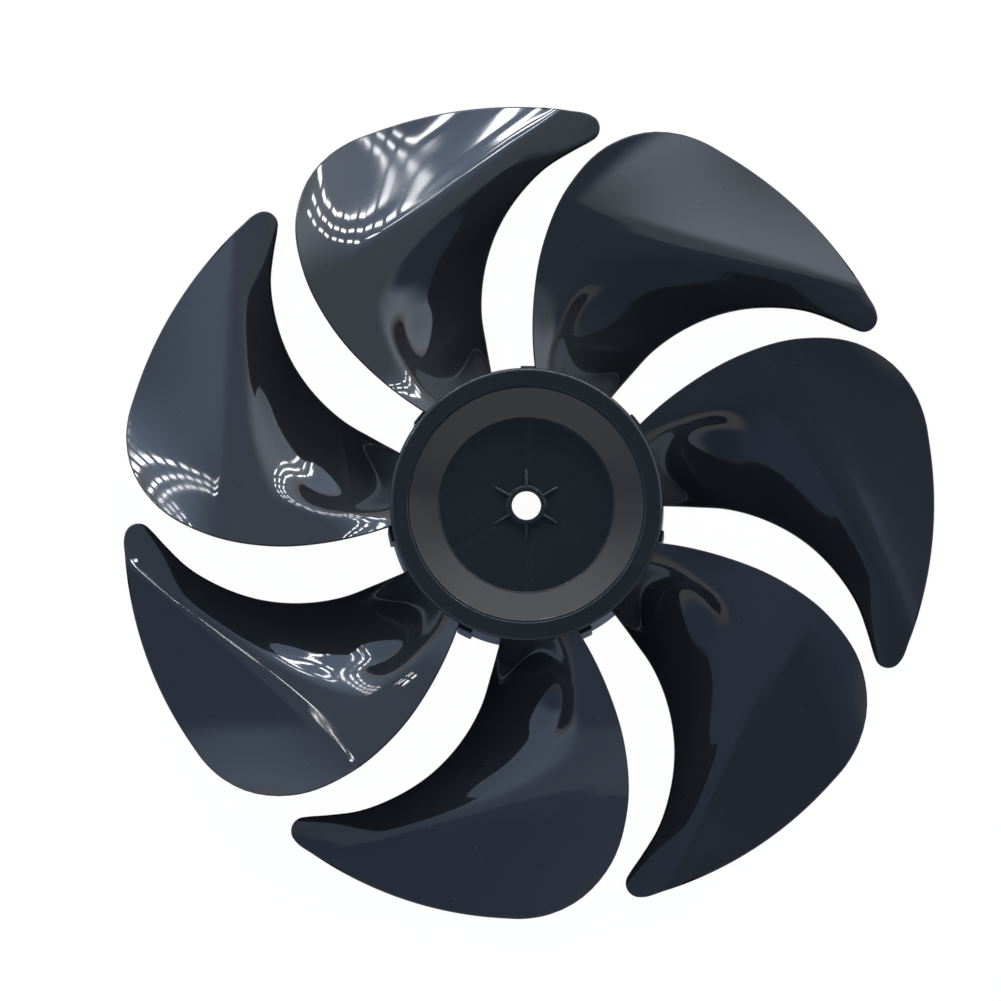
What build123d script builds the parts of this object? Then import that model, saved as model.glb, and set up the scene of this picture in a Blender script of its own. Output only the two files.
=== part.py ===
"""Axial fan impeller, 230 mm: a one-piece moulding with seven creased blades on an open-backed hub.

Millimetres. The origin is on the shaft axis in the plane of the hub's rear rim, and +Z points to
the discharge side. The impeller turns clockwise as seen from there, so every blade climbs from a
leading edge at the rear of the hub to a trailing edge at its front.
"""

from build123d import *
from math import atan2, cos, degrees, hypot, radians, sin
import os

os.makedirs("parts", exist_ok=True)

# Overall
tip_radius = 115.0
blade_count = 7
blade_pitch = 360 / blade_count
first_blade_angle = blade_pitch / 2

# Hub shell
hub_depth = 33.0
hub_rear_radius = 38.8
hub_front_radius = 37.8
hub_wall = 1.9
hub_edge_fillet = 1.0

# Hub face: a flat rim, a groove, a cone, a step and a flat floor
rim_width = 4.9
groove_width = 0.6
groove_depth = 0.5
floor_radius = 24.5
floor_depth = 7.6
step_height = 0.6
web_thickness = 2.4

# Boss
bore_diameter = 8.1
bore_length = 3.8
collar_diameter = 10.8
collar_height = 1.4
boss_diameter = 17.0
boss_length = 13.0
socket_diameter = 10.4
drive_slot_width = 3.2
drive_slot_depth = 4.5

# Ribs
rib_count = 6
first_rib_angle = 30.0
gusset_reach = 10.4
gusset_height = 1.1
gusset_thickness = 1.1
rear_rib_thickness = 1.5
rear_rib_height = 8.0
rib_overlap = 0.5  # how far a rib runs into what it joins

# Pads that thicken the hub wall beside each trailing edge
pad_angle = 6.4
pad_proud = 0.9
pad_height = 26.0

# Blade form, for a blade along +X: a straight crest runs parallel to Y and climbs evenly from
# the tip to the trailing edge. Outboard of it the blade falls away as a dish.
blade_thickness = 1.6
crest_x = 82.5
crest_tip_y, crest_tip_height = -80.0, 3.8
crest_front_y, crest_front_height = 10.0, 33.5
dish_drop = 13.65
dish_hollow = 1.5
dish_turn_y = -40.0

form_reach_in = 10.8  # how far the form runs in past the hub's front radius

# Inboard of the crest, five lines run across the blade from inside the hub to the crest. Each
# lists (x, y, depth), where depth is measured down from the crest's height at the same y.
inner_x = hub_front_radius - form_reach_in
tip_line = [(inner_x, -84, 10.4), (66, -84, 1.5), (72, -84, -0.2), (76, -84, -0.5), (crest_x, -84, 0)]
leading_line = [
    (inner_x, -13.5, 25.3),
    (38.4, -17.9, 20.0),
    (43.5, -20.3, 18.2),
    (50.8, -24.5, 15.8),
    (57.4, -30.1, 13.4),
    (66.4, -42.4, 8.6),
    (71, -56, 4.4),
    (76, -60, 2.0),
    (crest_x, -60, 0),
]
scoop_line = [
    (inner_x, -8.8, 6.9),
    (44, -0.5, 5.1),
    (50, 0, 5.0),
    (55, -1, 5.8),
    (60, -4, 6.3),
    (65, -9.6, 5.5),
    (71, -18, 3.9),
    (75, -30, 2.4),
    (78, -46, 1.1),
    (crest_x, -55, 0),
]
step_line = [
    (inner_x, -4.3, 1.8),
    (44, 1.3, 2.5),
    (50, 2, 2.8),
    (60, 0.5, 2.9),
    (66, -0.5, 2.6),
    (71, -3.4, 1.8),
    (75, -15.5, 1.2),
    (78, -24, 0.7),
    (crest_x, -42, 0),
]
trailing_line = [
    (inner_x, 3.0, -1.1),
    (44, 8.1, 0.6),
    (54, 10.5, 2.6),
    (65, 11.6, 3.0),
    (76, 11.3, 1.6),
    (crest_x, 10.4, 0),
]
crease_softness = 1.6

# A skin is a spline surface through points on a grid, a little larger than the blade
skin_pitch = 3.0
skin_margin = 5.0
skin_low_y, skin_high_y = -92.0, 18.0

# Blade outline in the XY plane. Each edge starts at a root inside the hub and goes on through
# points given as (share of the way from the hub to the tip radius, angle). The tip and the outer
# edge are given as (distance in from the tip radius, angle).
leading_root = (inner_x + skin_margin, -15.1)
leading_edge = [
    (0.1322, -25.02),
    (0.2409, -25.75),
    (0.3499, -27.67),
    (0.5309, -32.56),
    (0.6743, -37.9),
    (0.7635, -41.82),
    (0.8368, -45.87),
]
tip_corner = [(8.6, -48.58), (4.85, -49.49), (1.35, -47.76)]
outer_edge = [(1.35, -47.76), (0.0, -25.7), (0.1, -13.1)]
outer_corner = [(1.2, -9.61), (4.05, -5.69), (12.5, 0.22)]
trailing_edge = [(0.6581, 5.5), (0.4436, 9.31), (0.228, 10.92)]
trailing_roots = [(36.0, 5.6), (inner_x + skin_margin, 4.3)]

# Heights on the hub and its radii, worked out from the sizes above
floor_top = hub_depth - floor_depth
web_rear = floor_top - web_thickness
cone_top = hub_depth - groove_depth
groove_outer = hub_front_radius - rim_width
cone_outer = groove_outer - groove_width
collar_top = floor_top + collar_height
bore_radius = bore_diameter / 2
hub_draft = (hub_rear_radius - hub_front_radius) / hub_depth
crest_rise = (crest_front_height - crest_tip_height) / (crest_front_y - crest_tip_y)
dish_fall = dish_drop / (tip_radius - crest_x)


def from_tip(inset, angle):
    """Point at this distance in from the tip radius."""
    radius = tip_radius - inset
    return radius * cos(radians(angle)), radius * sin(radians(angle))


def on_span(share, angle):
    """Point at this share of the way from the hub to the tip radius."""
    return from_tip((1 - share) * (tip_radius - hub_front_radius), angle)


def along(line, column, x):
    """Cubic through the points of a line: its y (column 1) or its depth (column 2) at x."""

    def slope(j):
        before, here, after = line[max(j - 1, 0)], line[j], line[min(j + 1, len(line) - 1)]
        widths = here[0] - before[0], after[0] - here[0]
        rises = here[column] - before[column], after[column] - here[column]
        if not widths[0]:
            return rises[1] / widths[1]
        if not widths[1]:
            return rises[0] / widths[0]
        return (widths[1] * rises[0] / widths[0] + widths[0] * rises[1] / widths[1]) / sum(widths)

    i = min(max(sum(point[0] < x for point in line) - 1, 0), len(line) - 2)
    start, end = line[i], line[i + 1]
    width = end[0] - start[0]
    t = (x - start[0]) / width
    bend = slope(i) * (t**3 - 2 * t**2 + t) + slope(i + 1) * (t**3 - t**2)
    return start[column] + (end[column] - start[column]) * (3 * t**2 - 2 * t**3) + width * bend


def creased_height(x, y):
    """Height of the discharge face of the blade along +X, with sharp creases."""
    crest = crest_tip_height + crest_rise * (y - crest_tip_y)
    if x > crest_x:
        out = x - crest_x
        turn = max(0, (y - dish_turn_y) / -dish_turn_y)
        share = out / (tip_radius - crest_x)
        return crest - dish_fall * (1 - turn**2) * out - dish_hollow * 4 * share * (1 - share)
    lines = [tip_line, leading_line, scoop_line, step_line, trailing_line]
    knots = [(along(line, 1, x), along(line, 2, x)) for line in lines]
    i = min(sum(y > knot[0] for knot in knots[1:]), len(knots) - 2)
    (y0, depth0), (y1, depth1) = knots[i], knots[i + 1]
    return crest - depth0 - (depth1 - depth0) * (y - y0) / (y1 - y0)


def height(x, y):
    """Height of the discharge face with its creases rounded, as a mean over two rings of points."""
    total, weight = 2 * creased_height(x, y), 2
    for ring, share in ((1, 1), (2, 0.5)):
        for angle in range(0, 360, 45):
            dx, dy = cos(radians(angle)), sin(radians(angle))
            reach = ring * crease_softness
            total += share * creased_height(x + reach * dx, y + reach * dy)
            weight += share
    return total / weight


def skin(depth):
    """Spline face of one blade's discharge side, or a face at this depth square below it."""
    rows = []
    for i in range(round((tip_radius - inner_x) / skin_pitch) + 1):
        x = inner_x + 2 * crease_softness + i * skin_pitch
        row = []
        for j in range(round((skin_high_y - skin_low_y) / skin_pitch) + 1):
            y = skin_low_y + j * skin_pitch
            rise_x = height(x + 0.5, y) - height(x - 0.5, y)
            rise_y = height(x, y + 0.5) - height(x, y - 0.5)
            row.append((x, y, height(x, y) - depth * hypot(1, rise_x, rise_y)))
        rows.append(row)
    return Face.make_surface_from_array_of_points(rows, tol=0.05, min_deg=3, max_deg=3)


def radial_plane(angle):
    """Plane through the axis whose x runs outward at this angle and whose y is +Z."""
    outward = (cos(radians(angle)), sin(radians(angle)), 0)
    return Plane(origin=(0, 0, 0), x_dir=outward, z_dir=(outward[1], -outward[0], 0))


# One blade: its outline, cut through and kept between two skins
with BuildPart() as blade:
    with BuildSketch(Plane.XY):
        with BuildLine():
            leading = [on_span(*point) for point in leading_edge]
            tip = [from_tip(*point) for point in tip_corner]
            outer = [from_tip(*point) for point in outer_edge]
            corner = [from_tip(*point) for point in outer_corner]
            trailing = [on_span(*point) for point in trailing_edge]
            Spline(leading_root, *leading, tip[0])
            ThreePointArc(*tip)
            ThreePointArc(*outer)
            Spline(outer[-1], *corner, *trailing, *trailing_roots)
            Line(trailing_roots[-1], leading_root)
        make_face()
    extrude(amount=2 * hub_depth, both=True)
    extrude(skin(0), amount=4 * hub_depth, dir=(0, 0, -1), mode=Mode.INTERSECT)
    extrude(skin(blade_thickness), amount=4 * hub_depth, dir=(0, 0, -1), mode=Mode.SUBTRACT)
    # The root stops in the middle of the hub's wall, and follows its draft
    with BuildSketch(Plane.XZ):
        with BuildLine():
            Polyline(
                (0, -hub_depth),
                (hub_rear_radius - hub_wall / 2 + hub_draft * hub_depth, -hub_depth),
                (hub_front_radius - hub_wall / 2 - hub_draft * hub_depth, 2 * hub_depth),
                (0, 2 * hub_depth),
                close=True,
            )
        make_face()
    revolve(axis=Axis.Z, mode=Mode.SUBTRACT)

with BuildPart() as impeller:
    # Hub shell, turned in one profile: outside, face, bore, boss and inside
    with BuildSketch(Plane.XZ):
        with BuildLine():
            Polyline(
                (hub_rear_radius, 0),
                (hub_front_radius, hub_depth),
                (groove_outer, hub_depth),
                (groove_outer, cone_top),
                (cone_outer, cone_top),
                (floor_radius, floor_top + step_height),
                (floor_radius, floor_top),
                (collar_diameter / 2, floor_top),
                (collar_diameter / 2, collar_top),
                (bore_radius, collar_top),
                (bore_radius, collar_top - bore_length),
                (socket_diameter / 2, collar_top - bore_length),
                (socket_diameter / 2, web_rear - boss_length),
                (boss_diameter / 2, web_rear - boss_length),
                (boss_diameter / 2, web_rear),
                (floor_radius, web_rear),
                (cone_outer, cone_top - web_thickness),
                (hub_front_radius - hub_wall, hub_depth - web_thickness),
                (hub_rear_radius - hub_wall, 0),
                close=True,
            )
        make_face()
    revolve(axis=Axis.Z)
    front_edges = impeller.edges().filter_by(GeomType.CIRCLE).group_by(Axis.Z)[-1]
    fillet(front_edges.sort_by(SortBy.RADIUS)[-1], hub_edge_fillet)

    for i in range(rib_count):
        spoke = radial_plane(first_rib_angle + i * 360 / rib_count)
        # Gusset that stays the collar on the floor, with a sloping top
        with BuildSketch(spoke):
            with BuildLine():
                Polyline(
                    (collar_diameter / 2 - rib_overlap, floor_top - rib_overlap),
                    (gusset_reach, floor_top - rib_overlap),
                    (gusset_reach, floor_top),
                    (collar_diameter / 2, floor_top + gusset_height),
                    (collar_diameter / 2 - rib_overlap, floor_top + gusset_height),
                    close=True,
                )
            make_face()
        extrude(amount=gusset_thickness / 2, both=True)
        # Rib behind the face, from the boss to the hub's wall
        with BuildSketch(spoke):
            with BuildLine():
                Polyline(
                    (boss_diameter / 2 - rib_overlap, web_rear - rear_rib_height),
                    (hub_front_radius - hub_wall + rib_overlap, web_rear - rear_rib_height),
                    (hub_front_radius - hub_wall + rib_overlap, hub_depth - web_thickness + rib_overlap),
                    (cone_outer, cone_top - web_thickness + rib_overlap),
                    (floor_radius, web_rear + rib_overlap),
                    (boss_diameter / 2 - rib_overlap, web_rear + rib_overlap),
                    close=True,
                )
            make_face()
        extrude(amount=rear_rib_thickness / 2, both=True)

    # Slot across the end of the boss, for the pin in the motor's shaft
    with BuildSketch(Plane.XY.offset(web_rear - boss_length)):
        Rectangle(2 * boss_diameter, drive_slot_width)
    extrude(amount=drive_slot_depth, mode=Mode.SUBTRACT)

    # Pads on the hub's wall, turned from each trailing edge towards the next blade
    root_x, root_y = trailing_roots[0]
    root_angle = first_blade_angle + degrees(atan2(root_y, root_x))
    for i in range(blade_count):
        with BuildSketch(radial_plane(root_angle + i * blade_pitch)):
            with BuildLine():
                Polyline(
                    (hub_rear_radius - hub_wall / 2, 0),
                    (hub_rear_radius + pad_proud, 0),
                    (hub_rear_radius + pad_proud - hub_draft * pad_height, pad_height),
                    (hub_rear_radius - hub_wall / 2 - hub_draft * pad_height, pad_height),
                    close=True,
                )
            make_face()
        revolve(axis=Axis.Z, revolution_arc=pad_angle)

    with PolarLocations(0, blade_count, start_angle=first_blade_angle):
        add(blade.part)

impeller.part.label = "impeller"
export_step(impeller.part, "parts/impeller.step")
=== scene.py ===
"""One-piece moulded axial fan impeller, 230 mm across, lying on its hub on a pale floor."""

import bpy
import numpy as np
from mathutils import Matrix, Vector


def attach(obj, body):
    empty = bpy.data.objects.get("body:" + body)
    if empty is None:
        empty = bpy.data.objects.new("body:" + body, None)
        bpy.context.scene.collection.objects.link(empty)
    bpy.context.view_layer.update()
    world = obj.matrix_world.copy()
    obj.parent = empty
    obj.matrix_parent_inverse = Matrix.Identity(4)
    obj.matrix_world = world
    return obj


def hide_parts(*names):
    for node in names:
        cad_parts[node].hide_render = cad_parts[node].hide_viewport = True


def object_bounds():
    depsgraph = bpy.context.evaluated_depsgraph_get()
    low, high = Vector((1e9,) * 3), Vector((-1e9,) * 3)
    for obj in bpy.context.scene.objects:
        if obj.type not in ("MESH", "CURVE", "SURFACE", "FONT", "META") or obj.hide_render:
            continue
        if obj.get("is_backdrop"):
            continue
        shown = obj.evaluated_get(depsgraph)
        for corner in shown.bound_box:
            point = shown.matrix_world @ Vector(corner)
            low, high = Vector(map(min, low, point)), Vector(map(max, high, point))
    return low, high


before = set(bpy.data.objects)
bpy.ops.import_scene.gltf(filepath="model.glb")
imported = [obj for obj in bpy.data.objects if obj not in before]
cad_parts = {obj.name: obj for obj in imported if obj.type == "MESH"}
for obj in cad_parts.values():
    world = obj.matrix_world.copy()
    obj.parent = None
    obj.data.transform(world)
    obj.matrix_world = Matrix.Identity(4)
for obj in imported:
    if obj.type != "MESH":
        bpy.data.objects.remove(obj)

cad_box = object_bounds()

# --- Moulded hub -------------------------------------------------------------------------------
# The hub is an open-backed cup of glossy black plastic. Its front is a flat rim, a fine groove, a
# cone, a small step and a flat floor with the shaft hole in a raised collar; a boss hangs behind.

hub_depth, hub_wall, web = 33.0, 1.9, 2.4
rear_radius, front_radius = 38.8, 37.8
rim_width, groove_width, groove_depth = 4.9, 0.6, 0.5
floor_radius, floor_top, step_height = 24.5, 25.4, 0.6
bore_radius, bore_length = 4.05, 3.8
collar_radius, collar_top = 5.4, 26.8
boss_radius, boss_length, socket_radius = 8.5, 13.0, 5.2
web_rear = floor_top - web
groove_outer = front_radius - rim_width
cone_outer = groove_outer - groove_width
hub_steps = 180


def rounded(corners):
    """Closed profile whose corners (r, z, radius) are arcs that touch both sides.

    Each arc has five points at even angles, and one more point a little way along each side.
    """
    corners = np.array(corners, float)
    here, radius = corners[:, :2], corners[:, 2:]
    back, ahead = np.roll(here, 1, 0) - here, np.roll(here, -1, 0) - here
    back /= np.linalg.norm(back, axis=1, keepdims=True)
    ahead /= np.linalg.norm(ahead, axis=1, keepdims=True)
    half = np.arccos(np.clip((back * ahead).sum(1, keepdims=True), -1, 1)) / 2
    reach = radius / np.tan(half)
    middle = back + ahead
    middle /= np.linalg.norm(middle, axis=1, keepdims=True)
    centre = here + middle * radius / np.sin(half)
    start, end = here + back * reach - centre, here + ahead * reach - centre
    share = np.linspace(0, 1, 5)[None, :, None]
    turn = np.pi - 2 * half[:, None]
    arc = np.sin((1 - share) * turn) * start[:, None] + np.sin(share * turn) * end[:, None]
    arc = arc / np.sin(turn) + centre[:, None]
    lead = here + back * (reach + 0.15)
    trail = here + ahead * (reach + 0.15)
    return np.concatenate([lead[:, None], arc, trail[:, None]], 1).reshape(-1, 2)


def ring_faces(steps, count, closed=True):
    """Quads between neighbours on a steps by count grid whose first direction closes on itself."""
    i, j = np.meshgrid(np.arange(steps), np.arange(count if closed else count - 1), indexing="ij")
    a, b = (i + 1) % steps, (j + 1) % count
    return np.stack([i * count + j, a * count + j, a * count + b, i * count + b], -1).reshape(-1, 4)


def turned(profile, steps):
    """Closed profile (r, z) carried round Z: x = r cos t, y = r sin t, z = z."""
    t = np.arange(steps) * 2 * np.pi / steps
    r, z = profile[:, 0], profile[:, 1]
    height = np.broadcast_to(z, (steps, len(z)))
    points = np.stack([np.outer(np.cos(t), r), np.outer(np.sin(t), r), height], -1)
    return points.reshape(-1, 3), ring_faces(steps, len(profile))


def round_the_axis(points, angle):
    """Points turned about Z by an angle."""
    c, s = np.cos(angle), np.sin(angle)
    return points @ np.array([[c, s, 0], [-s, c, 0], [0, 0, 1]])


hub_profile = rounded([
    (rear_radius, 0, 0.35),
    (front_radius, hub_depth, 1.0),
    (groove_outer, hub_depth, 0.2),
    (groove_outer, hub_depth - groove_depth, 0.15),
    (cone_outer, hub_depth - groove_depth, 0.25),
    (floor_radius, floor_top + step_height, 0.2),
    (floor_radius - 0.35, floor_top, 0.2),
    (collar_radius, floor_top, 0.3),
    (collar_radius - 0.15, collar_top, 0.3),
    (bore_radius, collar_top, 0.3),
    (bore_radius, collar_top - bore_length, 0.1),
    (socket_radius, collar_top - bore_length, 0.1),
    (socket_radius, web_rear - boss_length, 0.2),
    (boss_radius, web_rear - boss_length, 0.3),
    (boss_radius, web_rear, 0.4),
    (floor_radius, web_rear, 0.5),
    (cone_outer, hub_depth - groove_depth - web, 0.5),
    (front_radius - hub_wall, hub_depth - web, 0.4),
    (rear_radius - hub_wall, 0, 0.35),
])
hub = turned(hub_profile, hub_steps)


# --- Ribs --------------------------------------------------------------------------------------
# Six low gussets stay the collar on the floor. Behind the face six ribs join the boss to the
# hub's wall. All are moulded with the hub.

rib_angles = np.radians(30 + 60 * np.arange(6))


def shell_faces(rows, columns, loops=0):
    """Faces of a closed shell: a front grid, a back grid, and loops of points between their borders."""
    grid = np.arange(rows * columns).reshape(rows, columns)
    quads = np.stack([grid[:-1, :-1], grid[1:, :-1], grid[1:, 1:], grid[:-1, 1:]], -1).reshape(-1, 4)
    border = np.concatenate([grid[:-1, 0], grid[-1, :-1], grid[:0:-1, -1], grid[0, :0:-1]])
    size, count = rows * columns, len(border)
    rings = [border] + [2 * size + k * count + np.arange(count) for k in range(loops)] + [size + border]
    strips = [
        np.stack([one, other, np.roll(other, -1), np.roll(one, -1)], -1)
        for one, other in zip(rings[:-1], rings[1:])
    ]
    return np.concatenate([quads, size + quads[:, ::-1], *strips]), border


def fin(stations, angle):
    """Rib on a radial line, with a rounded top: stations are (r, base z, top z, half thickness).

    The top may lie below the base, for a rib that hangs.
    """
    r, base, top, half = np.array(stations, float).T
    way = np.sign(top - base)[:, None]
    turn = np.linspace(0, np.pi, 9)
    across = -way * np.cos(turn)[None] * half[:, None]
    up = top[:, None] - way * half[:, None] * (1 - np.sin(turn))[None]
    across = np.concatenate([-way * half[:, None], across, way * half[:, None]], 1)
    up = np.concatenate([base[:, None], up, base[:, None]], 1)
    front = np.stack([np.broadcast_to(r[:, None], up.shape), across, up], -1)
    back = front * [1, 0.999, 0] + [0, 0, 1] * base[:, None, None]
    points = np.concatenate([front.reshape(-1, 3), back.reshape(-1, 3)])
    return round_the_axis(points, angle), shell_faces(*up.shape)[0]


def wall_radius(z):
    """Outer radius of the hub at a height, with its draft."""
    return rear_radius + (front_radius - rear_radius) * z / hub_depth


gusset = [
    (collar_radius - 0.6, floor_top - 0.5, floor_top + 1.1, 0.5),
    (collar_radius + 0.3, floor_top - 0.5, floor_top + 1.05, 0.5),
    (8.0, floor_top - 0.5, floor_top + 0.75, 0.5),
    (9.8, floor_top - 0.5, floor_top + 0.3, 0.45),
    (10.4, floor_top - 0.5, floor_top - 0.1, 0.3),
]
rear_rib = [
    (boss_radius - 0.4, web_rear + 0.4, web_rear - 8, 0.75),
    (floor_radius, web_rear + 0.4, web_rear - 8, 0.75),
    (cone_outer, hub_depth - web, web_rear - 8, 0.75),
    (front_radius - hub_wall + 0.3, hub_depth - web + 0.2, web_rear - 8, 0.75),
]
ribs = [fin(gusset, angle) for angle in rib_angles] + [fin(rear_rib, angle) for angle in rib_angles]


# --- Blades ------------------------------------------------------------------------------------
# Seven swept blades, 1.6 mm thick, moulded with the hub. A straight crest parallel to Y climbs
# from the tip to the trailing edge; outboard of it the blade is a hollow dish, and inboard three
# creases run out from the hub.

tip_radius, blade_count = 115.0, 7
blade_thickness, blade_edge = 1.6, 0.45
crest_x, crest_tip_y, crest_tip_height, crest_rise = 82.5, -80.0, 3.8, 0.33
dish_fall, dish_hollow, dish_turn_y = 0.42, 1.5, -40.0
inner_x = 27.0
# Each line's points are (x, y, depth below the crest)
tip_line = [(inner_x, -84, 10.4), (66, -84, 1.5), (72, -84, -0.2), (76, -84, -0.5), (crest_x, -84, 0)]
leading_line = [
    (inner_x, -13.5, 25.3), (38.4, -17.9, 20.0), (43.5, -20.3, 18.2), (50.8, -24.5, 15.8),
    (57.4, -30.1, 13.4), (66.4, -42.4, 8.6), (71, -56, 4.4), (76, -60, 2.0), (crest_x, -60, 0),
]
scoop_line = [
    (inner_x, -8.8, 6.9), (44, -0.5, 5.1), (50, 0, 5.0), (55, -1, 5.8), (60, -4, 6.3), (65, -9.6, 5.5),
    (71, -18, 3.9), (75, -30, 2.4), (78, -46, 1.1), (crest_x, -55, 0),
]
step_line = [
    (inner_x, -4.3, 1.8), (44, 1.3, 2.5), (50, 2, 2.8), (60, 0.5, 2.9), (66, -0.5, 2.6), (71, -3.4, 1.8),
    (75, -15.5, 1.2), (78, -24, 0.7), (crest_x, -42, 0),
]
trailing_line = [
    (inner_x, 3.0, -1.1), (44, 8.1, 0.6), (54, 10.5, 2.6), (65, 11.6, 3.0), (76, 11.3, 1.6),
    (crest_x, 10.4, 0),
]
crease_softness, strip_softness, strip_out = 1.7, 0.9, 84.3


def along(line, column, x):
    """Cubic through the points of a line: its y (column 1) or its depth (column 2) at each x."""
    line = np.array(line, float)
    at, value = line[:, 0], line[:, column]
    width = np.diff(at)
    rise = np.diff(value) / width
    inner = (width[1:] * rise[:-1] + width[:-1] * rise[1:]) / (width[1:] + width[:-1])
    slope = np.concatenate([rise[:1], inner, rise[-1:]])
    i = np.clip(np.searchsorted(at, x) - 1, 0, len(at) - 2)
    t = (x - at[i]) / width[i]
    bend = slope[i] * (t**3 - 2 * t**2 + t) + slope[i + 1] * (t**3 - t**2)
    return value[i] + (value[i + 1] - value[i]) * (3 * t**2 - 2 * t**3) + width[i] * bend


def creased_height(x, y):
    """Height of the blade's face with sharp creases.

    Outboard: crest - fall * (1 - turn^2) * out - hollow * 4 * share * (1 - share). Inboard: the
    crest's height less a depth that is linear in y between the five lines.
    """
    crest = crest_tip_height + crest_rise * (y - crest_tip_y)
    out = x - crest_x
    turn = np.maximum(0, (y - dish_turn_y) / -dish_turn_y)
    share = out / (tip_radius - crest_x)
    dish = crest - dish_fall * (1 - turn**2) * out - dish_hollow * 4 * share * (1 - share)
    column = np.minimum(x[:, 0], crest_x)
    lines = [tip_line, leading_line, scoop_line, step_line, trailing_line]
    knots = np.stack([along(line, 1, column) for line in lines], 1)
    depths = np.stack([along(line, 2, column) for line in lines], 1)
    i = np.clip((y[:, :, None] > knots[:, None, 1:]).sum(2), 0, len(lines) - 2)
    low, high = np.take_along_axis(knots, i, 1), np.take_along_axis(knots, i + 1, 1)
    start, end = np.take_along_axis(depths, i, 1), np.take_along_axis(depths, i + 1, 1)
    return np.where(out > 0, dish, crest - start - (end - start) * (y - low) / (high - low))


def blur(count, pitch, width):
    """Matrix that replaces each of count values, a pitch apart, by their mean under a bell curve."""
    step = np.arange(count)
    bell = np.exp(-0.5 * ((step[:, None] - step[None]) * pitch / width) ** 2)
    return bell / bell.sum(1, keepdims=True)


form_pitch = 0.15
form_x, form_y = np.arange(inner_x - 4, 124, form_pitch), np.arange(-98, 24, form_pitch)


def read(table, x, y):
    """Value of a table at points between its own, linear in x and in y."""
    i, j = (x - form_x[0]) / form_pitch, (y - form_y[0]) / form_pitch
    a, b = np.minimum(i.astype(int), len(form_x) - 2), np.minimum(j.astype(int), len(form_y) - 2)
    i, j = i - a, j - b
    near = table[a, b] * (1 - i) + table[a + 1, b] * i
    far = table[a, b + 1] * (1 - i) + table[a + 1, b + 1] * i
    return near * (1 - j) + far * j


def strip_sides(y):
    """The two sides x of the flat strip on the crest, which widens from the tip to the trailing edge."""
    return np.minimum(79.4 - 0.04 * y, strip_out - 1.5), np.full_like(y, strip_out)


def form():
    """Height of the blade's face: sharp creases, eased by a bell curve that is narrow at the crest.

    Between the strip's sides the height is linear in x.
    """
    x, y = np.meshgrid(form_x, form_y, indexing="ij")
    sharp = creased_height(x, y)
    inner, outer = strip_sides(form_y)
    low, high = read(sharp, inner, form_y), read(sharp, outer, form_y)
    share = (x - inner) / (outer - inner)
    sharp = np.where((share > 0) & (share < 1), low + (high - low) * share, sharp)
    eased, crisp = (
        blur(len(form_x), form_pitch, width) @ sharp @ blur(len(form_y), form_pitch, width).T
        for width in (crease_softness, strip_softness)
    )
    far = np.clip((np.abs(x - (inner + outer) / 2) - 4) / 5, 0, 1)
    far = far * far * (3 - 2 * far)
    return crisp + (eased - crisp) * far


form_height = form()
form_slope_x, form_slope_y = np.gradient(form_height, form_pitch)


def through(points, first=0, last=-1, count=100):
    """Smooth curve through points: count places, evenly spaced from one point to another.

    Each span is the cubic whose ends have the direction of the chord between their neighbours.
    """
    points = np.array(points, float)
    chord = np.linalg.norm(np.diff(points, axis=0), axis=1)
    at = np.concatenate([[0], np.cumsum(chord)])
    rise = np.diff(points, axis=0) / chord[:, None]
    inner = (chord[1:, None] * rise[:-1] + chord[:-1, None] * rise[1:]) / (chord[1:] + chord[:-1])[:, None]
    slope = np.concatenate([2 * rise[:1] - inner[:1], inner, 2 * rise[-1:] - inner[-1:]])
    fine = np.linspace(at[first], at[last], 3000)
    i = np.clip(np.searchsorted(at, fine) - 1, 0, len(at) - 2)
    t, w = ((fine - at[i]) / chord[i])[:, None], chord[i][:, None]
    curve = points[i] + (points[i + 1] - points[i]) * (3 * t**2 - 2 * t**3)
    curve += w * (slope[i] * (t**3 - 2 * t**2 + t) + slope[i + 1] * (t**3 - t**2))
    travelled = np.concatenate([[0], np.cumsum(np.linalg.norm(np.diff(curve, axis=0), axis=1))])
    even = np.linspace(0, travelled[-1], count)
    return np.stack([np.interp(even, travelled, column) for column in curve.T], 1)


def from_tip(inset, angle):
    """Point at this distance in from the tip radius, at an angle in degrees."""
    return (tip_radius - inset) * np.array([np.cos(np.radians(angle)), np.sin(np.radians(angle))])


def arc(first, middle, last, count):
    """Evenly spaced points of the arc that runs clockwise through three points."""
    chords = np.array([middle - first, last - first])
    centre = first + np.linalg.solve(2 * chords, np.sum(chords**2, axis=1))
    spokes = np.array([first, last]) - centre
    start, end = np.arctan2(spokes[:, 1], spokes[:, 0])
    angles = start - np.linspace(0, (start - end) % (2 * np.pi), count)
    return centre + np.linalg.norm(spokes[0]) * np.stack([np.cos(angles), np.sin(angles)], 1)


blade_rows, wall_rows, easing_passes = 74, 16, 400
inner_columns, strip_columns, outer_columns = 25, 7, 18
blade_columns = inner_columns + strip_columns + outer_columns
hub_side = [(33.9, -15.2), (35.9, -11.0), (36.9, -5.0), (36.8, 1.0), (35.6, 5.5)]
trailing_edge = [
    (35.6, 5.5), (54.4, 10.5), (71.1, 11.65), (88.2, 8.5), from_tip(12.5, 0.22), from_tip(4.05, -5.69),
]
outer_arc = arc(from_tip(0.1, -13.1), from_tip(0, -25.7), from_tip(1.35, -47.76), count=12)
tip_arc = arc(from_tip(1.35, -47.76), from_tip(4.85, -49.49), from_tip(8.6, -48.58), count=7)
# The tip's side of the grid starts this many points before the end of the outer arc
tip_lead = 3
outer_edge = [from_tip(1.2, -9.61), *outer_arc[:-tip_lead]]
tip_edge = [*outer_arc[-tip_lead:], *tip_arc[1:-1]]
leading_edge = [
    tip_arc[-1], (71.3, -73.5), (72.1, -64.5), (70.9, -55.2), (66.4, -42.4), (57.4, -30.1),
    (50.8, -24.5), (43.5, -20.3), (33.9, -15.2),
]


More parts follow.
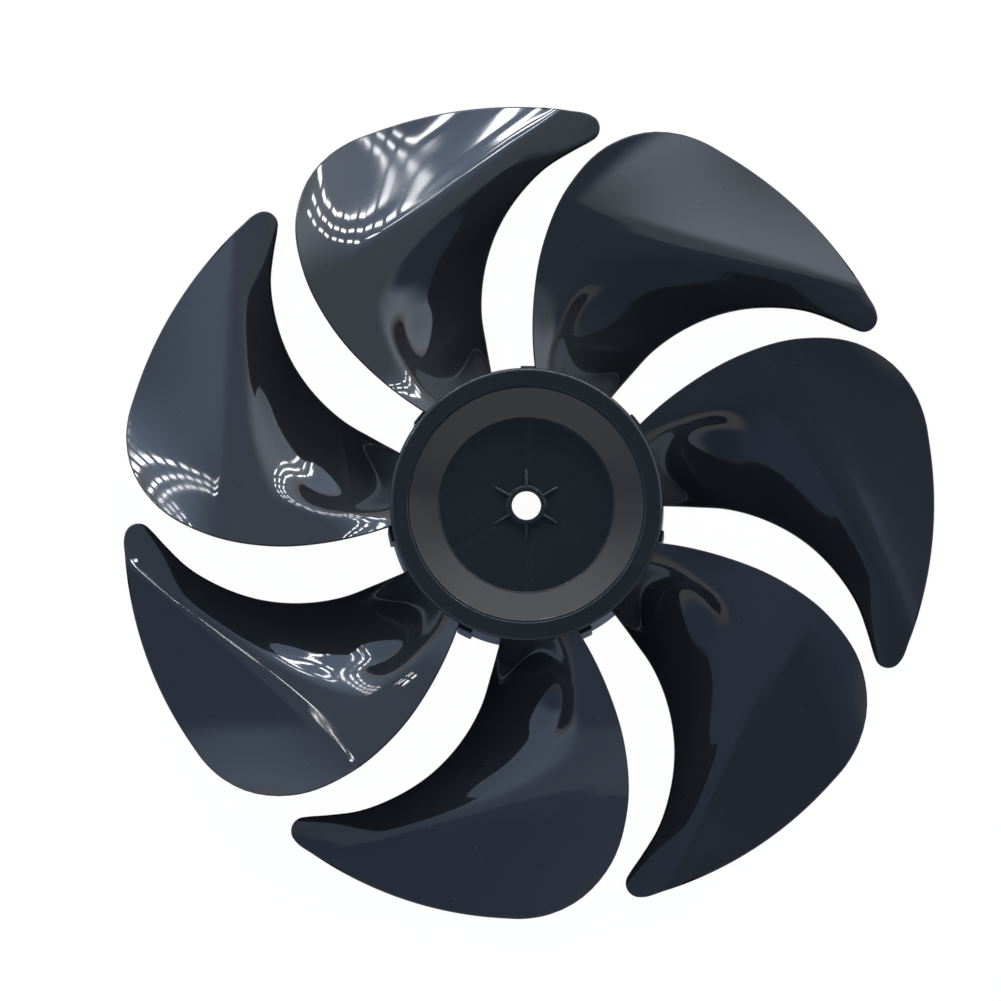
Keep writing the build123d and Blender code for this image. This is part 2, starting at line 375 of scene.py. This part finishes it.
def outline():
    """The four sides of a blade in plan: inner, outer, tip and trailing.

    The inner side is the leading edge from the tip to the root, and then the hub's wall.
    """
    edge = [*trailing_edge, *outer_edge, *tip_edge, *leading_edge]
    corners = np.cumsum([0, len(trailing_edge), len(outer_edge), len(tip_edge)])
    trailing = through(edge, 0, corners[1], blade_columns)
    outer = through(edge, corners[1], corners[2], blade_rows)[::-1]
    tip = through(edge, corners[2], corners[3], blade_columns)[::-1]
    leading = through(edge, corners[3], -1, blade_rows - wall_rows)
    wall = through(hub_side, count=wall_rows + 1)[1:]
    return np.concatenate([leading, wall]), outer, tip, trailing


def plan_grid():
    """Points of a blade in plan: rows from tip to trailing edge, columns from hub to outer edge.

    It is a Coons patch, eased by averaging each point with its neighbours. Then each row is
    divided again, so that two columns follow the sides of the strip on the crest.
    """
    inner, outer, tip, trailing = outline()
    u = np.linspace(0, 1, blade_rows)[:, None, None]
    v = np.linspace(0, 1, blade_columns)[None, :, None]
    plan = (1 - v) * inner[:, None] + v * outer[:, None] + (1 - u) * tip[None] + u * trailing[None]
    plan -= (1 - u) * ((1 - v) * inner[0] + v * outer[0]) + u * ((1 - v) * inner[-1] + v * outer[-1])
    for _ in range(easing_passes):
        plan[1:-1, 1:-1] = (plan[:-2, 1:-1] + plan[2:, 1:-1] + plan[1:-1, :-2] + plan[1:-1, 2:]) / 4
    even = np.linspace(0, 1, blade_columns)
    to_strip = np.linspace(0, 1, inner_columns, endpoint=False)
    from_strip = np.linspace(0, 1, outer_columns)
    rows = []
    for row in plan:
        low, high = strip_sides(row[:, 1])
        near = np.interp(0, row[:, 0] - low, even), np.interp(0, row[:, 0] - high, even)
        at = np.concatenate([
            near[0] * to_strip * (1.5 - 0.5 * to_strip),
            np.linspace(*near, strip_columns, endpoint=False),
            near[1] + (1 - near[1]) * from_strip * (0.5 + 0.5 * from_strip),
        ])
        rows.append(np.stack([np.interp(at, even, row[:, 0]), np.interp(at, even, row[:, 1])], 1))
    return np.array(rows)


def blade():
    """One blade along +X as a closed shell.

    The face's height is read from the form, and the back lies the thickness below it, square to
    it. Loops round the edge are quarter circles. The face's normals are (-dz/dx, -dz/dy, 1), from
    the form, and the others are zero, to be worked out from the faces.
    """
    plan = plan_grid()
    faces, border = shell_faces(blade_rows, blade_columns, 6)
    rim = plan.reshape(-1, 2)[border]
    way = np.roll(rim, -1, 0) - np.roll(rim, 1, 0)
    way /= np.linalg.norm(way, axis=1, keepdims=True)
    outward = np.stack([-way[:, 1], way[:, 0]], 1)
    inset = plan.reshape(-1, 2).copy()
    inset[border] -= outward * blade_edge
    inset = inset.reshape(plan.shape)

    def lifted(points, depth):
        x, y = points[..., 0], points[..., 1]
        under = np.sqrt(1 + read(form_slope_x, x, y) ** 2 + read(form_slope_y, x, y) ** 2)
        return np.concatenate([points, (read(form_height, x, y) - depth * under)[..., None]], -1)

    loops = []
    for turn in np.radians([30, 60, 90]):
        depth = blade_edge * (1 - np.cos(turn))
        loops.append(lifted(rim - outward * blade_edge * (1 - np.sin(turn)), depth))
    for turn in np.radians([90, 60, 30]):
        depth = blade_thickness - blade_edge * (1 - np.cos(turn))
        loops.append(lifted(rim - outward * blade_edge * (1 - np.sin(turn)), depth))
    front, back = lifted(inset, 0).reshape(-1, 3), lifted(inset, blade_thickness).reshape(-1, 3)
    points = np.concatenate([front, back, *loops])
    normals = np.zeros_like(points)
    x, y = front[:, 0], front[:, 1]
    slopes = [-read(form_slope_x, x, y), -read(form_slope_y, x, y)]
    normals[:len(front)] = np.stack([*slopes, np.ones_like(x)], 1)
    return points, faces[:, ::-1], normals


blade_points, blade_faces, blade_normals = blade()
blade_angles = (np.arange(blade_count) + 0.5) * 2 * np.pi / blade_count
blades = [(round_the_axis(blade_points, angle), blade_faces) for angle in blade_angles]


# --- Root pads ---------------------------------------------------------------------------------
# Beside each trailing edge a pad thickens the hub's wall, where the two halves of the mould meet.

pad_angle, pad_proud, pad_height, pad_round, pad_sunk = np.radians(6.4), 0.9, 26.0, 0.35, 0.6
trailing_angle = np.arctan2(5.6, 36.0)


def pad(angle):
    """Raised patch of the wall: r = wall + proud less a quarter circle near its border."""
    near = pad_round * np.array([0, 0.04, 0.15, 0.35, 0.65, 1])
    width = pad_angle * rear_radius
    a = np.concatenate([near, np.linspace(pad_round, width - pad_round, 6)[1:-1], width - near[::-1]])
    z = np.concatenate([[0], np.linspace(0.3, pad_height - pad_round, 8), pad_height - near[::-1][1:]])
    inside = np.minimum(np.minimum(a, width - a)[:, None], np.maximum(pad_height - z, 0)[None])
    inside = np.clip(inside / pad_round, 0, 1)
    proud = pad_proud - pad_round * (1 - np.sqrt(1 - (1 - inside) ** 2))
    proud[:, 0] -= 0.2
    turn = angle + trailing_angle + a / rear_radius

    def at(radius):
        height = np.broadcast_to(z, radius.shape)
        return np.stack([radius * np.cos(turn)[:, None], radius * np.sin(turn)[:, None], height], -1)

    wall = np.broadcast_to(wall_radius(z), proud.shape)
    front, back = at(wall + proud), at(wall - pad_sunk)
    return np.concatenate([front.reshape(-1, 3), back.reshape(-1, 3)]), shell_faces(*proud.shape)[0]


pads = [pad(angle) for angle in blade_angles]


# --- The one moulding --------------------------------------------------------------------------
# Hub, ribs, blades and pads are one shot of plastic, so they are one mesh.


def joined(parts):
    """Points and faces of several meshes as one."""
    offsets = np.cumsum([0] + [len(points) for points, _ in parts[:-1]])
    faces = [faces + offset for (_, faces), offset in zip(parts, offsets)]
    return np.concatenate([points for points, _ in parts]), np.concatenate(faces)


def piece(name, points, faces, material, normals=None, metres=0.001):
    """Mesh object of points in millimetres, shaded smooth, with any normals given that aren't zero."""
    mesh = bpy.data.meshes.new(name)
    mesh.from_pydata((points * metres).tolist(), [], faces.tolist())
    mesh.polygons.foreach_set("use_smooth", np.ones(len(faces), bool))
    if normals is not None:
        lengths = np.maximum(np.linalg.norm(normals, axis=1, keepdims=True), 1e-9)
        mesh.normals_split_custom_set_from_vertices((normals / lengths).tolist())
    mesh.materials.append(material)
    made = bpy.data.objects.new(name, mesh)
    bpy.context.scene.collection.objects.link(made)
    return made


# --- Black plastic -----------------------------------------------------------------------------
# Glossy black moulding compound with a faint blue cast.


class Value:
    """A socket's value. An expression on values adds the Math nodes that work it out."""

    def __init__(self, tree, socket):
        self.tree, self.socket = tree, socket

    def _math(self, operation, first, second=0.0):
        node = self.tree.nodes.new("ShaderNodeMath")
        node.operation = operation
        for k, value in enumerate((first, second)):
            if isinstance(value, Value):
                self.tree.links.new(value.socket, node.inputs[k])
            else:
                node.inputs[k].default_value = value
        return Value(self.tree, node.outputs[0])

    def __add__(self, other):
        return self._math("ADD", self, other)

    def __radd__(self, other):
        return self._math("ADD", other, self)

    def __sub__(self, other):
        return self._math("SUBTRACT", self, other)

    def __rsub__(self, other):
        return self._math("SUBTRACT", other, self)

    def __mul__(self, other):
        return self._math("MULTIPLY", self, other)

    def __rmul__(self, other):
        return self._math("MULTIPLY", other, self)

    def __truediv__(self, other):
        return self._math("DIVIDE", self, other)

    def __pow__(self, other):
        return self._math("POWER", self, other)


class Shader:
    """Node tree of a material, a lamp or the world, cleared and ready for nodes."""

    def __init__(self, owner):
        owner.use_nodes = True
        self.tree = owner.node_tree
        self.tree.nodes.clear()

    def node(self, kind, settings=None, inputs=None):
        """Adds a node, makes its settings, then fills its sockets with values or links.

        Sockets go by name or number. It gives the values of the outputs that are in use.
        """
        node = self.tree.nodes.new("ShaderNode" + kind)
        for name, value in (settings or {}).items():
            setattr(node, name, value)
        for name, value in (inputs or {}).items():
            if isinstance(value, Value):
                self.tree.links.new(value.socket, node.inputs[name])
            else:
                node.inputs[name].default_value = value
        return {output.name: Value(self.tree, output) for output in node.outputs if output.enabled}

    def ramp(self, value, low, high):
        """0 on low's far side, 1 on high's far side, and an S-curve between."""
        return self.node("MapRange", {"interpolation_type": "SMOOTHSTEP"}, {
            "Value": value, "From Min": low, "From Max": high, "To Min": 0.0, "To Max": 1.0,
        })["Result"]

    def blend(self, share, first, second):
        """Colour between two colours: the first at share 0, the second at 1."""
        return self.node("Mix", {"data_type": "RGBA"}, {0: share, 6: first, 7: second})["Result"]

    def noise(self, place, scale, detail=0.0, roughness=0.5):
        """Noise about 0.5 whose features measure 1 / scale metres."""
        return self.node("TexNoise", None, {
            "Vector": place, "Scale": scale, "Detail": detail, "Roughness": roughness,
        })["Fac"]


plastic = bpy.data.materials.new("black_gloss_plastic")
black, dust = (0.0205, 0.0208, 0.0220, 1), (0.16, 0.165, 0.17, 1)
shader = Shader(plastic)
place = shader.node("TexCoord")["Object"]
# Handling leaves smears that are a little duller than the mould's polish
smears = shader.ramp(shader.noise(place, 28.0, 3.0, 0.55), 0.52, 0.72)
grain = shader.noise(place, 420.0, 2.0)
# The skin of the moulding is very slightly wavy, and the face of the hub sinks over the ribs
wave = shader.noise(place, 55.0, 1.0, 0.4)
wave_height, sink_depth, sink_reach = 0.000012, 0.00008, 0.0022
along_axes = shader.node("SeparateXYZ", None, {"Vector": place})
x, y, z = along_axes["X"], along_axes["Y"], along_axes["Z"]
reach = (x * x + y * y) ** 0.5
sinks = 0.0
for angle in rib_angles[:3]:
    off = x * float(np.sin(angle)) - y * float(np.cos(angle))
    sinks = sinks + shader.ramp((off * off) ** 0.5, sink_reach, 0.0)
past_collar, before_cone = shader.ramp(reach, 0.0100, 0.0112), shader.ramp(reach, 0.0245, 0.0238)
on_floor = past_collar * before_cone * shader.ramp(z, 0.0245, 0.0252)
relief = wave * wave_height - sinks * on_floor * sink_depth
bump = shader.node("Bump", None, {"Height": relief, "Strength": 1.0, "Distance": 1.0})["Normal"]
# Dust lies in specks
specks = shader.ramp(shader.noise(place, 900.0), 0.845, 0.875)
finish = shader.node("BsdfPrincipled", None, {
    "Base Color": shader.blend(specks * 0.2 + smears * 0.02, black, dust),
    "Roughness": grain * 0.01 + smears * 0.05 + 0.03, "IOR": 1.5, "Normal": bump,
})
shader.node("OutputMaterial", None, {"Surface": finish["BSDF"]})

points, faces = joined([hub, *ribs, *blades, *pads])
turned_normals = [round_the_axis(blade_normals, angle) for angle in blade_angles]
before, after = sum(len(p) for p, _ in [hub, *ribs]), sum(len(p) for p, _ in pads)
normals = np.concatenate([np.zeros((before, 3)), *turned_normals, np.zeros((after, 3))])
impeller = piece("impeller_moulding", points, faces, plastic, normals)
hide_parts("impeller")
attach(impeller, "root")


# --- Floor -------------------------------------------------------------------------------------
# A plain white sheet that looks white to the camera and keeps the soft shadow of the impeller.

sheet = bpy.data.materials.new("white_sheet")
shader = Shader(sheet)
to_camera = shader.node("LightPath")["Is Camera Ray"]
matt = shader.node("BsdfDiffuse", None, {"Color": (0.9, 0.9, 0.9, 1)})["BSDF"]
glow = shader.node("Emission", None, {"Color": (1, 1, 1, 1), "Strength": 1.03})["Emission"]
surface = shader.node("MixShader", None, {"Fac": to_camera * 0.95, 1: matt, 2: glow})["Shader"]
shader.node("OutputMaterial", None, {"Surface": surface})
span = 4000.0
corners = span * np.array([[-1, -1, 0], [1, -1, 0], [1, 1, 0], [-1, 1, 0]])
floor = piece("floor", corners, np.array([[0, 1, 2, 3]]), sheet)
floor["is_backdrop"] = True


# --- World -------------------------------------------------------------------------------------
# A pale room: bright on the far side, dim and bluer on the near side, dark overhead where the
# camera hangs, neutral near the horizon, and white to the camera.

world = bpy.data.worlds.new("room")
bpy.context.scene.world = world
shader = Shader(world)
near_hue, far_hue = (0.52, 0.72, 1.12, 1), (0.66, 0.87, 1.22, 1)
east_hue, horizon_hue = (0.84, 0.96, 1.12, 1), (1, 1, 1.04, 1)
way = shader.node("SeparateXYZ", None, {"Vector": shader.node("TexCoord")["Generated"]})
rise, level = way["Z"], (way["X"] * way["X"] + way["Y"] * way["Y"]) ** 0.5 + 0.0001
east, north = way["X"] / level, way["Y"] / level
# Above the horizon: far and near halves, and the dark place overhead
far = shader.ramp(north, -0.08, 0.12) * shader.ramp(rise, 0.94, 0.85)
far_light = shader.ramp(rise, 0.72, 0.30) * (shader.ramp(east, -0.7, -0.2) + 0.6) + 0.8
near_light = shader.ramp(east, 0.15, -0.4) * 0.24 + 0.32
overhead = 1 - shader.ramp(rise, 0.914, 0.978) * 0.75
upper = (far * (far_light - near_light) + near_light) * overhead
# Near the horizon, which reaches a little higher on the near side
far_side, near_side = shader.ramp(north, 0.0, 1.0), shader.ramp(north, 0.0, -1.0)
horizon = far_side * 0.95 + near_side * 0.3 + 0.48
low = shader.ramp(rise - near_side * 0.1, 0.31, 0.17)
far_colour = shader.blend(shader.ramp(east, 0.1, 0.7), far_hue, east_hue)
colour = shader.blend(low, shader.blend(far, near_hue, far_colour), horizon_hue)
strength = upper + low * (horizon - upper)
room = shader.node("Background", None, {"Color": colour, "Strength": strength})["Background"]
white = shader.node("Background", None, {"Color": (1, 1, 1, 1), "Strength": 1.0})["Background"]
to_camera = shader.node("LightPath")["Is Camera Ray"]
surface = shader.node("MixShader", None, {"Fac": to_camera, 1: room, 2: white})["Shader"]
shader.node("OutputWorld", None, {"Surface": surface})


# --- Strip lamps -------------------------------------------------------------------------------
# Two chains of lamp bars and one bar alone hang 2.5 m off on the far side. Each bar has three rows
# of diodes, and gloss shows them as dotted lines.

bar_width, rows_apart, row_width, dash, dash_lit = 0.39, 0.13, 0.26, 0.17, 0.66
bar_radiance = 30.0
chains = [
    through([(-0.29, 2.42, 0.56), (-0.74, 2.21, 0.91), (-1.01, 1.95, 1.19), (-1.10, 1.63, 1.54)], count=6),
    through([(-0.24, 2.36, 0.80), (0.57, 2.11, 1.21), (1.10, 1.97, 1.07), (1.48, 1.91, 0.63)], count=7),
    np.array([(-1.44, 0.94, 1.82), (-1.17, 1.08, 1.93)]),
]
bars = [bar for chain in chains for bar in zip(chain[:-1], chain[1:])]


def strip_lamp(number, start, end):
    """Area lamp from start to end that faces the origin, lit in rows of dashes.

    u runs from 0 to 1 along the bar and v across it. A dash is lit where the fraction of u * dashes
    is below its lit share, and a row where the fraction of v * rows is near a half.
    """
    length = np.linalg.norm(end - start)
    along_bar, middle = (end - start) / length, (start + end) / 2
    back = middle - along_bar * (middle @ along_bar)
    back /= np.linalg.norm(back)
    lamp = bpy.data.lights.new(f"strip_lamp_{number}", "AREA")
    lamp.shape, lamp.size, lamp.size_y = "RECTANGLE", length, bar_width
    lamp.energy = bar_radiance * np.pi * length * bar_width
    shader = Shader(lamp)
    spot = shader.node("SeparateXYZ", None, {"Vector": shader.node("NewGeometry")["Parametric"]})
    dashes, rows = spot["X"] * round(length / dash), spot["Y"] * round(bar_width / rows_apart)
    along_dash = shader.node("Math", {"operation": "FRACT"}, {0: dashes})["Value"]
    across_row = shader.node("Math", {"operation": "FRACT"}, {0: rows})["Value"] - 0.5
    lit = shader.node("Math", {"operation": "LESS_THAN"}, {0: along_dash, 1: dash_lit})["Value"]
    off_middle = (across_row * across_row) ** 0.5
    row = shader.node("Math", {"operation": "LESS_THAN"}, {0: off_middle, 1: row_width / 2})["Value"]
    glow = shader.node("Emission", None, {"Color": (1, 1, 1, 1), "Strength": lit * row})["Emission"]
    shader.node("OutputLight", None, {"Surface": glow})
    made = bpy.data.objects.new(lamp.name, lamp)
    matrix = np.eye(4)
    matrix[:3] = np.stack([along_bar, np.cross(back, along_bar), back, middle], 1)
    made.matrix_world = Matrix(matrix.tolist())
    bpy.context.scene.collection.objects.link(made)


for number, (start, end) in enumerate(bars, 1):
    strip_lamp(number, start, end)


# --- Camera ------------------------------------------------------------------------------------
# It looks down on the impeller from 1.55 m, a little from the near side.

camera = bpy.data.cameras.new("camera")
camera_object = bpy.data.objects.new("camera", camera)
bpy.context.scene.collection.objects.link(camera_object)
distance, tilt = 1.55, np.radians(3.27)
image_width, metres_per_pixel, sensor_width = 1001, 0.00028256, 36
place = distance * np.array([0, -np.sin(tilt), np.cos(tilt)])
aim = np.array([-0.007318, 0.002868, 0.0])
back = (place - aim) / np.linalg.norm(place - aim)
right = np.cross([0, 1, 0], back)
right /= np.linalg.norm(right)
matrix = np.eye(4)
matrix[:3] = np.stack([right, np.cross(back, right), back, place], 1)
camera_object.matrix_world = Matrix(matrix.tolist())
camera.sensor_width = sensor_width
camera.lens = sensor_width * distance / (metres_per_pixel * image_width)
camera.clip_end = 20
bpy.context.scene.camera = camera_object

bpy.context.scene.view_settings.view_transform = "Standard"
boxes = {"cad": cad_box, "visual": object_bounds()}
boxes = {name: [list(corner) for corner in box] for name, box in boxes.items()}
